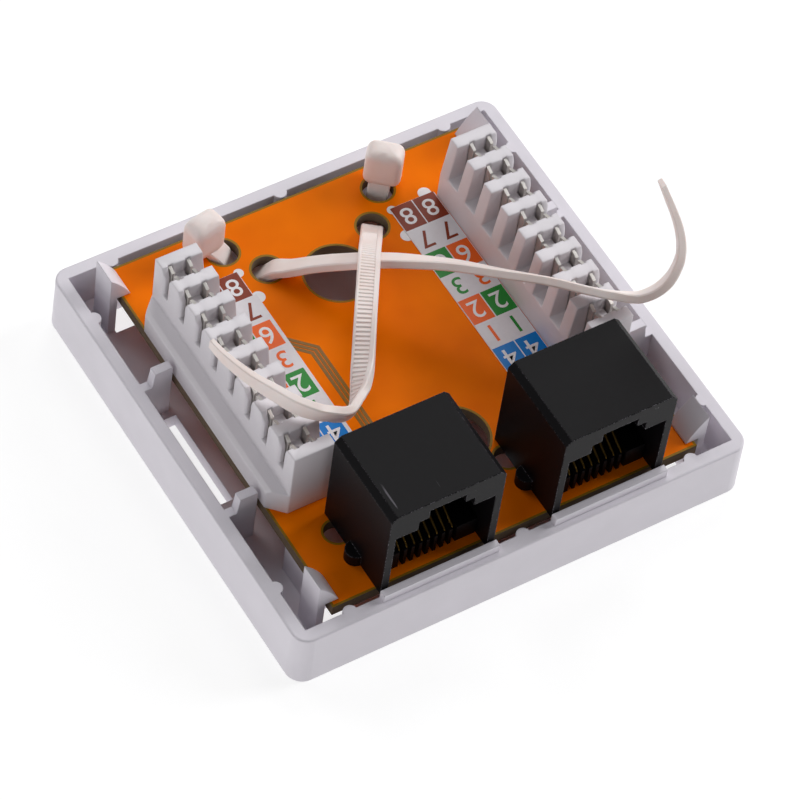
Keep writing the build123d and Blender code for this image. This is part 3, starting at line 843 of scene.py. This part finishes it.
    def strap_line(self, side, sign):
        """A dense smooth line through the sections: place, direction, width and normal."""
        points = self.sections(side, sign)
        places = [p for p, _ in points]
        widths = [w for _, w in points]
        dense = []
        for i in range(len(points) - 1):
            before = places[max(i - 1, 0)]
            after = places[min(i + 2, len(points) - 1)]
            a, b = places[i], places[i + 1]
            pull = (b - a).length
            lead = (b - before).normalized() * pull
            trail = (after - a).normalized() * pull
            pieces = max(2, round(pull / self.line_step))
            for k in range(pieces):
                t = k / pieces
                place = (
                    a * (2 * t**3 - 3 * t**2 + 1) + lead * (t**3 - 2 * t**2 + t)
                    + b * (3 * t**2 - 2 * t**3) + trail * (t**3 - t**2)
                )
                dense.append((place, widths[i].lerp(widths[i + 1], t)))
        dense.append((places[-1], widths[-1]))
        line = []
        travelled = 0.0
        for i, (place, width) in enumerate(dense):
            if i:
                travelled += (place - dense[i - 1][0]).length
            ahead = dense[min(i + 1, len(dense) - 1)][0] - dense[max(i - 1, 0)][0]
            ahead.normalize()
            width = (width - ahead * width.dot(ahead)).normalized()
            line.append((place * MM, ahead, width, ahead.cross(width), travelled * MM))
        return line

    def station(self, line, distance):
        """The line's frame at a distance from its start."""
        low, high = 0, len(line) - 1
        while high - low > 1:
            middle = (low + high) // 2
            if line[middle][4] <= distance:
                low = middle
            else:
                high = middle
        a, b = line[low], line[high]
        t = (distance - a[4]) / max(b[4] - a[4], 1e-9)
        return [a[k].lerp(b[k], t) for k in range(4)]

    def build_strap(self, bm, line, settings, toothed):
        """Sweep the strap's section, with a gullet cut before every tooth."""
        length = line[-1][4]
        step = settings.tooth_pitch / self.stations_per_tooth
        count = int(length / step)
        half = settings.strap_width / 2
        thick = settings.strap_thickness / 2
        near, far = self.tooth_margins
        previous = None
        for i in range(count + 1):
            distance = length * i / count
            place, _, width, normal = self.station(line, distance)
            left = length - distance
            share = min(1.0, self.tip_share + (1 - self.tip_share) * left / (self.tip_length * MM))
            depth = self.smooth_depth * MM
            if self.smooth_start * MM < distance < length - self.smooth_end * MM:
                # A flat gullet, then the tooth's ramp
                phase = i % self.stations_per_tooth / self.stations_per_tooth
                depth = settings.tooth_depth * (1.0 if phase < 0.3 else max(0.15, 0.9 - phase))
            w, t, c = half * share, thick * share, self.edge_chamfer * MM * share
            gullet_left, gullet_right = -w + near * MM * share, w - far * MM * share
            profile = (
                (-w, -t + c), (-w + c, -t), (w - c, -t), (w, -t + c), (w, t - c), (w - c, t),
                (gullet_right, t), (gullet_right, t - depth),
                (gullet_left, t - depth), (gullet_left, t), (-w + c, t), (-w, t - c),
            )
            loop = [bm.verts.new(place + width * a + normal * b * toothed) for a, b in profile]
            if previous:
                bridge(bm, previous, loop)
            else:
                bm.faces.new(loop)
            previous = loop
        bm.faces.new(previous)

    def build_head(self, bm, start, turn, settings):
        """The head: a block with a low dome, rounded at its corners and at its foot."""
        place, _, width, _, _ = start
        width = Matrix.Rotation(radians(turn), 3, "Z") @ Vector((width.x, width.y, 0)).normalized()
        through = Vector((-width.y, width.x, 0))
        base = Vector((place.x, place.y, BOARD_TOP + self.head_gap * MM))
        half_w, half_t = settings.head_width / 2, settings.head_thickness / 2
        dome = self.dome * MM
        pull_w, pull_t = self.dome_pulls
        loops = []
        for row in range(self.head_rows + 1):
            rise = settings.head_height * row / self.head_rows
            above = max(0.0, rise - (settings.head_height - dome)) / dome
            shrink = dome * (1 - max(0.0, 1 - above**2) ** 0.5)
            foot = self.foot_round * MM * max(0.0, 1 - rise / (self.foot_height * MM))
            w, t = half_w - shrink * pull_w - foot, half_t - shrink * pull_t - foot
            loop = []
            for x, y in circle(0, 0, 1, self.head_steps):
                square_x = copysign(abs(x) ** self.squareness, x)
                square_y = copysign(abs(y) ** self.squareness, y)
                corner = width * (w * square_x) + through * (t * square_y)
                loop.append(bm.verts.new(base + corner + Vector((0, 0, rise))))
            if loops:
                bridge(bm, loops[-1], loop)
            loops.append(loop)
        bm.faces.new(loops[0])
        bm.faces.new(loops[-1])


class OUTLET_OT_stage(bpy.types.Operator):
    """Set up the floor, the soft lights and the camera"""

    bl_idname = "outlet.stage"
    bl_label = "Stage"

    # The photograph's own view: place in millimetres, then the picture's right and down
    camera_place = (-205.54, -261.76, 449.45)
    camera_right = (0.85415, -0.51129, 0.09492)
    camera_down = (-0.36655, -0.72142, -0.58754)
    focal_length = 209.38
    sensor_width = 36.0
    clip_range = (0.05, 20.0)
    # Floor and surround, in metres
    floor_reach = 2.5
    floor_level = -0.00005
    surround_colour = (0.96, 0.97, 1.0, 1.0)
    surround_strength = 0.15
    # Lights: name, place and size in metres, and power in watts
    light_target = (0, 0, 0.01)
    lights = (
        ("key_light", (0.90, -0.10, 0.60), 0.60, 6.6),
        ("top_light", (0.45, 0.60, 0.90), 0.60, 3.6),
        ("back_light", (-0.30, 0.85, 0.75), 0.60, 2.0),
        ("left_light", (-0.90, -0.10, 0.45), 0.60, 1.6),
    )

    def execute(self, context):
        scene = context.scene
        scene.view_settings.view_transform = "Standard"
        self.lay_floor(scene)
        self.hang_lights(scene)
        self.place_camera(scene)
        return {"FINISHED"}

    def lay_floor(self, scene):
        """A pale floor that glows faintly, as a backlit sweep does."""
        made, tree = new_material("acrylic_opal_white")
        # Opal acrylic sheet, lit from below: matt, with a haze some 30 mm across
        haze = grain(tree, 30 * MM, 2.0).outputs["Fac"]
        shader = add(tree, "ShaderNodeBsdfPrincipled", {
            "Base Color": between(tree, haze, linear("#A8A8A8"), linear("#A2A2A2")),
            "Roughness": 0.9,
            "Specular IOR Level": 0.05,
            "Emission Color": (1.0, 1.0, 1.0, 1.0),
            "Emission Strength": 0.76,
        })
        close_material(tree, shader)
        bm = bmesh.new()
        outline = [(a * self.floor_reach, b * self.floor_reach) for a, b in CORNERS]
        bm.faces.new([bm.verts.new((x, y, self.floor_level)) for x, y in outline])
        mesh = bpy.data.meshes.new("studio_floor")
        bm.to_mesh(mesh)
        bm.free()
        mesh.materials.append(made)
        floor = bpy.data.objects.new("studio_floor", mesh)
        scene.collection.objects.link(floor)

    def hang_lights(self, scene):
        """Large soft lamps round the outlet and an even white surround."""
        for name, place, size, power in self.lights:
            lamp = bpy.data.lights.new(name, "AREA")
            lamp.shape = "DISK"
            lamp.size = size
            lamp.energy = power
            held = bpy.data.objects.new(name, lamp)
            held.location = place
            aim = Vector(self.light_target) - Vector(place)
            held.rotation_euler = aim.to_track_quat("-Z", "Y").to_euler()
            scene.collection.objects.link(held)
        world = bpy.data.worlds.new("studio_surround")
        world.use_nodes = True
        world.node_tree.nodes.clear()
        surround = add(world.node_tree, "ShaderNodeBackground", {
            "Color": self.surround_colour, "Strength": self.surround_strength,
        })
        add(world.node_tree, "ShaderNodeOutputWorld", {"Surface": surround.outputs[0]})
        scene.world = world

    def place_camera(self, scene):
        """The camera, square to the photograph's own axes."""
        right = Vector(self.camera_right)
        up = -Vector(self.camera_down)
        back = right.cross(up)
        turn = Matrix((right, up, back)).transposed().to_4x4()
        lens = bpy.data.cameras.new("photo_camera")
        lens.lens = self.focal_length
        lens.sensor_fit = "HORIZONTAL"
        lens.sensor_width = self.sensor_width
        lens.clip_start, lens.clip_end = self.clip_range
        camera = bpy.data.objects.new("photo_camera", lens)
        camera.matrix_world = Matrix.Translation(Vector(self.camera_place) * MM) @ turn
        scene.collection.objects.link(camera)
        scene.camera = camera


class OUTLET_PT_panel(bpy.types.Panel):
    """Lists the outlet's pieces in the 3D view's sidebar"""

    bl_idname = "OUTLET_PT_panel"
    bl_label = "Ethernet outlet"
    bl_space_type = "VIEW_3D"
    bl_region_type = "UI"
    bl_category = "Outlet"

    def draw(self, context):
        for group, operator in PIECES:
            box = self.layout.box()
            settings = getattr(context.scene, group, None)
            if settings:
                for prop in settings.bl_rna.properties:
                    if prop.identifier not in ("rna_type", "name"):
                        box.prop(settings, prop.identifier)
            box.operator(operator)


GROUPS = {
    "outlet_tray": OutletTray,
    "outlet_board": OutletBoard,
    "outlet_jacks": OutletJacks,
    "outlet_blocks": OutletBlocks,
    "outlet_labels": OutletLabels,
    "outlet_ties": OutletTies,
}
PIECES = (
    ("outlet_tray", "outlet.tray"),
    ("outlet_board", "outlet.board"),
    ("outlet_jacks", "outlet.jacks"),
    ("outlet_blocks", "outlet.blocks"),
    ("outlet_labels", "outlet.labels"),
    ("outlet_ties", "outlet.ties"),
    ("", "outlet.stage"),
)
OPERATORS = (
    OUTLET_OT_tray, OUTLET_OT_board, OUTLET_OT_jacks, OUTLET_OT_blocks, OUTLET_OT_labels,
    OUTLET_OT_ties, OUTLET_OT_stage,
)


def register():
    """Register the settings, operators and panel."""
    for name, group in GROUPS.items():
        bpy.utils.register_class(group)
        setattr(bpy.types.Scene, name, bpy.props.PointerProperty(type=group))
    for operator in OPERATORS:
        bpy.utils.register_class(operator)
    bpy.utils.register_class(OUTLET_PT_panel)


def unregister():
    """Take the panel, operators and settings out again."""
    bpy.utils.unregister_class(OUTLET_PT_panel)
    for operator in reversed(OPERATORS):
        bpy.utils.unregister_class(operator)
    for name, group in GROUPS.items():
        delattr(bpy.types.Scene, name)
        bpy.utils.unregister_class(group)


def main():
    """Dress every piece in order."""
    register()
    bpy.ops.outlet.tray()
    bpy.ops.outlet.board()
    bpy.ops.outlet.jacks()
    bpy.ops.outlet.blocks()
    bpy.ops.outlet.labels()
    bpy.ops.outlet.ties()
    bpy.ops.outlet.stage()
    bpy.context.view_layer.update()


if __name__ == "__main__":
    main()
